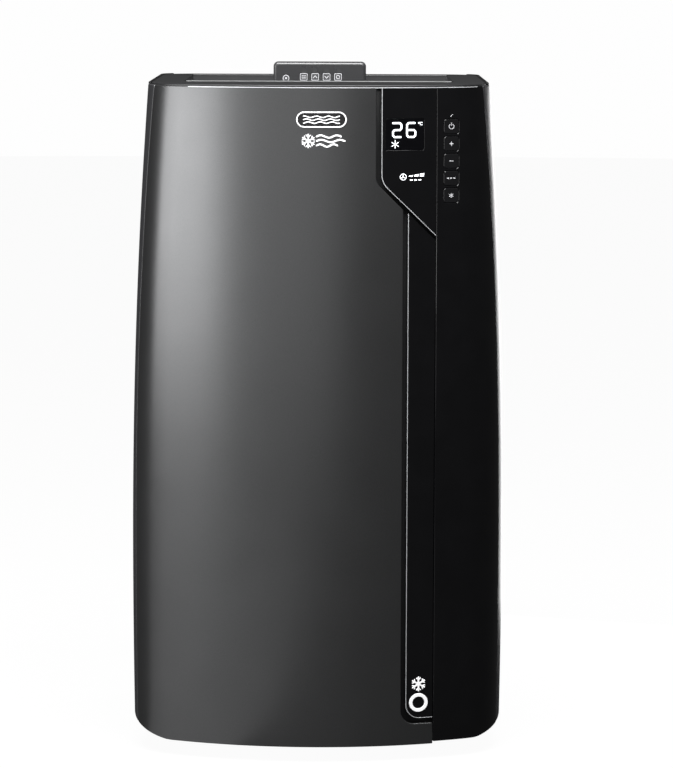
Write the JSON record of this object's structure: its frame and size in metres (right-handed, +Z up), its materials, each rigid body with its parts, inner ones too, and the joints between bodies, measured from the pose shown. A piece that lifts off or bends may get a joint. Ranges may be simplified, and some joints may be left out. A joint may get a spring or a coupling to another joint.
{
  "type": "portable air conditioner",
  "caption": "Tall cabinet portable air conditioner on casters, metallic front, gloss black display side, top outlet flap, docked remote and rear exhaust collar.",
  "frame": {"origin": "on the floor, under the middle of the cabinet's bounding box", "axes": "+Z up, front towards -Y, +X to the right seen from the front"},
  "size_m": [0.409, 0.43, 0.7516],
  "materials": {
    "graphite_paint": "satin metallic",
    "gloss_black": "piano gloss",
    "satin_black": "satin",
    "top_grey": "fine texture",
    "black_plastic": "fine texture",
    "duct_plastic": "plain",
    "grille_plastic": "satin",
    "remote_plastic": "satin",
    "remote_key": "satin",
    "button_black": "gloss",
    "silver_trim": "satin",
    "smoked_lens": "polished",
    "lit_digits": "lit white",
    "circuit_board": "solder mask",
    "black_rubber": "matt",
    "wheel_rubber": "matt",
    "caster_plastic": "plain",
    "painted_steel": "semi-gloss",
    "compressor_black": "enamel",
    "coil_fins": "satin",
    "motor_metal": "satin",
    "fan_plastic": "plain",
    "copper": "satin",
    "screw_steel": "blackened"
  },
  "bodies": {
    "root": {"base_pan": "painted_steel", "front_panel": "graphite_paint", "panel_carrier": "black_plastic", "display_panel": "gloss_black", "accent_strip": "gloss_black", "control_fascia": "gloss_black", "side_panel_left": "satin_black", "side_panel_right": "satin_black", "rear_casing": "satin_black", "top_cover": "top_grey", "rear_deck": "top_grey", "flap_motor": "motor_metal", "outlet_duct": "duct_plastic", "nameplate": "silver_trim", "emblem_ring": "silver_trim", "display_lens": "smoked_lens", "display_digits": "lit_digits", "display_board": "circuit_board", "handle_cup_left": "black_plastic", "handle_cup_right": "black_plastic", "exhaust_collar": "grille_plastic", "cable_gland": "black_rubber", "cord_cleats": "black_plastic", "drain_port": "black_plastic", "mid_deck": "painted_steel", "compressor": "compressor_black", "condenser_coil": "coil_fins", "evaporator_coil": "coil_fins", "condenser_fan_motor": "motor_metal", "exhaust_housing": "duct_plastic", "evaporator_fan_motor": "motor_metal", "evaporator_housing": "duct_plastic", "refrigerant_pipes": "copper", "power_box": "duct_plastic", "casing_screws": "screw_steel"},
    "flap": {"outlet_flap": "top_grey"},
    "remote": {"remote_control": "remote_plastic"},
    "upper_filter": {"filter_upper": "grille_plastic"},
    "lower_filter": {"filter_lower": "grille_plastic"},
    "drain_plug": {"drain_cap": "black_rubber"},
    "condenser_rotor": {"condenser_fan": "fan_plastic"},
    "evaporator_rotor": {"evaporator_fan": "fan_plastic"},
    "key_power": {"remote_key_power": "remote_key"},
    "key_1": {"remote_key_1": "remote_key"},
    "key_2": {"remote_key_2": "remote_key"},
    "key_3": {"remote_key_3": "remote_key"},
    "key_4": {"remote_key_4": "remote_key"},
    "power_button": {"button_power": "button_black"},
    "plus_button": {"button_plus": "button_black"},
    "minus_button": {"button_minus": "button_black"},
    "mode_button": {"button_mode": "button_black"},
    "swing_button": {"button_swing": "button_black"},
    "fork_front_left": {"caster_fork_front_left": "caster_plastic"},
    "wheel_front_left": {"caster_wheel_front_left": "wheel_rubber"},
    "fork_front_right": {"caster_fork_front_right": "caster_plastic"},
    "wheel_front_right": {"caster_wheel_front_right": "wheel_rubber"},
    "fork_rear_left": {"caster_fork_rear_left": "caster_plastic"},
    "wheel_rear_left": {"caster_wheel_rear_left": "wheel_rubber"},
    "fork_rear_right": {"caster_fork_rear_right": "caster_plastic"},
    "wheel_rear_right": {"caster_wheel_rear_right": "wheel_rubber"}
  },
  "joints": [
    {"name": "flap_hinge", "type": "hinge", "parent": "root", "child": "flap", "pos_m": [0, 0.05, 0.727], "axis": [-1, 0, 0], "range_deg": [0, 70]},
    {"name": "remote_lift", "type": "slide", "parent": "root", "child": "remote", "axis": [0, 0, 1], "range_m": [0, 0.06]},
    {"name": "upper_filter_pull", "type": "slide", "parent": "root", "child": "upper_filter", "axis": [0, 1, 0], "range_m": [0, 0.03]},
    {"name": "lower_filter_pull", "type": "slide", "parent": "root", "child": "lower_filter", "axis": [0, 1, 0], "range_m": [0, 0.03]},
    {"name": "drain_plug_pull", "type": "slide", "parent": "root", "child": "drain_plug", "axis": [0, 1, 0], "range_m": [0, 0.02]},
    {"name": "condenser_fan_spin", "type": "hinge", "parent": "root", "child": "condenser_rotor", "pos_m": [0.086, 0.07, 0.345], "axis": [0, 1, 0], "continuous": true},
    {"name": "evaporator_fan_spin", "type": "hinge", "parent": "root", "child": "evaporator_rotor", "pos_m": [0, 0.06, 0.56], "axis": [0, 1, 0], "continuous": true},
    {"name": "power_press", "type": "slide", "parent": "root", "child": "power_button", "axis": [-0.3875, 0.9219, 0], "range_m": [0, 0.0008], "stiffness_N_per_m": 600},
    {"name": "plus_press", "type": "slide", "parent": "root", "child": "plus_button", "axis": [-0.3875, 0.9219, 0], "range_m": [0, 0.0008], "stiffness_N_per_m": 600},
    {"name": "minus_press", "type": "slide", "parent": "root", "child": "minus_button", "axis": [-0.3875, 0.9219, 0], "range_m": [0, 0.0008], "stiffness_N_per_m": 600},
    {"name": "mode_press", "type": "slide", "parent": "root", "child": "mode_button", "axis": [-0.3875, 0.9219, 0], "range_m": [0, 0.0008], "stiffness_N_per_m": 600},
    {"name": "swing_press", "type": "slide", "parent": "root", "child": "swing_button", "axis": [-0.3875, 0.9219, 0], "range_m": [0, 0.0008], "stiffness_N_per_m": 600},
    {"name": "key_power_press", "type": "slide", "parent": "remote", "child": "key_power", "axis": [0, 1, 0], "range_m": [0, 0.0006], "stiffness_N_per_m": 400},
    {"name": "key_1_press", "type": "slide", "parent": "remote", "child": "key_1", "axis": [0, 1, 0], "range_m": [0, 0.0006], "stiffness_N_per_m": 400},
    {"name": "key_2_press", "type": "slide", "parent": "remote", "child": "key_2", "axis": [0, 1, 0], "range_m": [0, 0.0006], "stiffness_N_per_m": 400},
    {"name": "key_3_press", "type": "slide", "parent": "remote", "child": "key_3", "axis": [0, 1, 0], "range_m": [0, 0.0006], "stiffness_N_per_m": 400},
    {"name": "key_4_press", "type": "slide", "parent": "remote", "child": "key_4", "axis": [0, 1, 0], "range_m": [0, 0.0006], "stiffness_N_per_m": 400},
    {"name": "swivel_front_left", "type": "hinge", "parent": "root", "child": "fork_front_left", "pos_m": [-0.14, -0.104, 0.05], "axis": [0, 0, 1], "continuous": true},
    {"name": "roll_front_left", "type": "hinge", "parent": "fork_front_left", "child": "wheel_front_left", "pos_m": [-0.14, -0.092, 0.02], "axis": [1, 0, 0], "continuous": true},
    {"name": "swivel_front_right", "type": "hinge", "parent": "root", "child": "fork_front_right", "pos_m": [0.14, -0.104, 0.05], "axis": [0, 0, 1], "continuous": true},
    {"name": "roll_front_right", "type": "hinge", "parent": "fork_front_right", "child": "wheel_front_right", "pos_m": [0.14, -0.092, 0.02], "axis": [1, 0, 0], "continuous": true},
    {"name": "swivel_rear_left", "type": "hinge", "parent": "root", "child": "fork_rear_left", "pos_m": [-0.14, 0.148, 0.05], "axis": [0, 0, 1], "continuous": true},
    {"name": "roll_rear_left", "type": "hinge", "parent": "fork_rear_left", "child": "wheel_rear_left", "pos_m": [-0.14, 0.16, 0.02], "axis": [1, 0, 0], "continuous": true},
    {"name": "swivel_rear_right", "type": "hinge", "parent": "root", "child": "fork_rear_right", "pos_m": [0.14, 0.148, 0.05], "axis": [0, 0, 1], "continuous": true},
    {"name": "roll_rear_right", "type": "hinge", "parent": "fork_rear_right", "child": "wheel_rear_right", "pos_m": [0.14, 0.16, 0.02], "axis": [1, 0, 0], "continuous": true}
  ]
}
